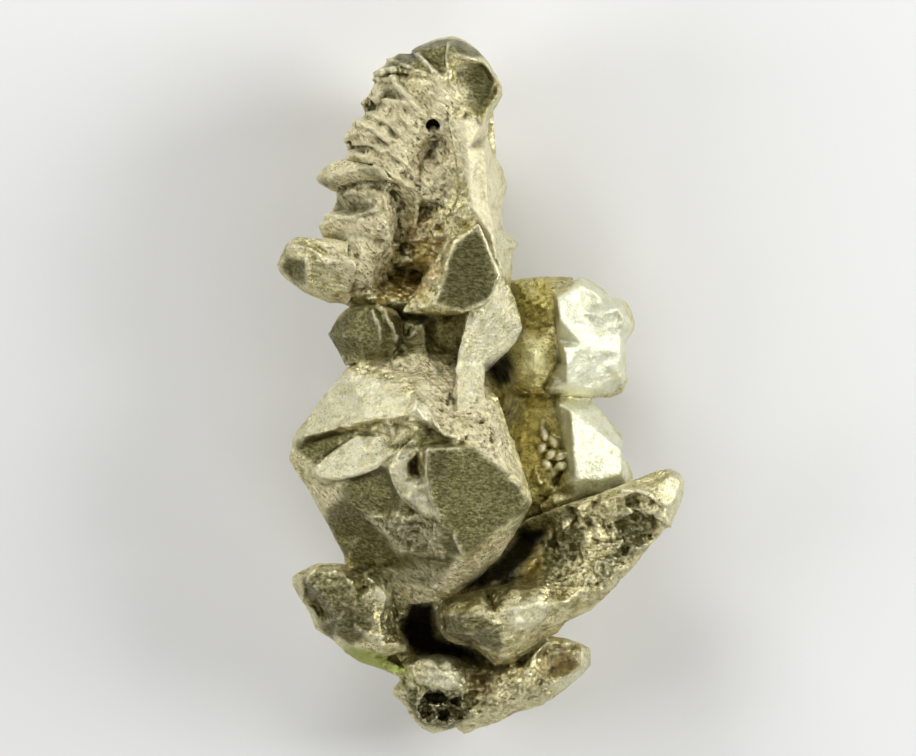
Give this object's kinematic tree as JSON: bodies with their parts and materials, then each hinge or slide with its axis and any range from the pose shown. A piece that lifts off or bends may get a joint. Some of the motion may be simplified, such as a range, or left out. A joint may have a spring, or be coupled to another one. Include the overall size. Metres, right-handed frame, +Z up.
{
  "type": "electrum specimen",
  "caption": "Natural group of pale gold-silver alloy crystals: a hollow toothed column above a large faceted crystal, with a side column and a pitted arm.",
  "frame": {"origin": "under the middle of the specimen's outline, on the surface it lies on", "axes": "+Z up, away from the surface; +Y from the foot to the head of the specimen, its longest way; +X to the right as seen from above"},
  "size_m": [0.0146, 0.025, 0.0096],
  "materials": {
    "electrum": "natural metallic lustre, pale cream-gold crystal faces with olive-grey tarnish and rusty stains in the hollows"
  },
  "bodies": {
    "root": {"electrum_crystals": "electrum"}
  },
  "joints": []
}
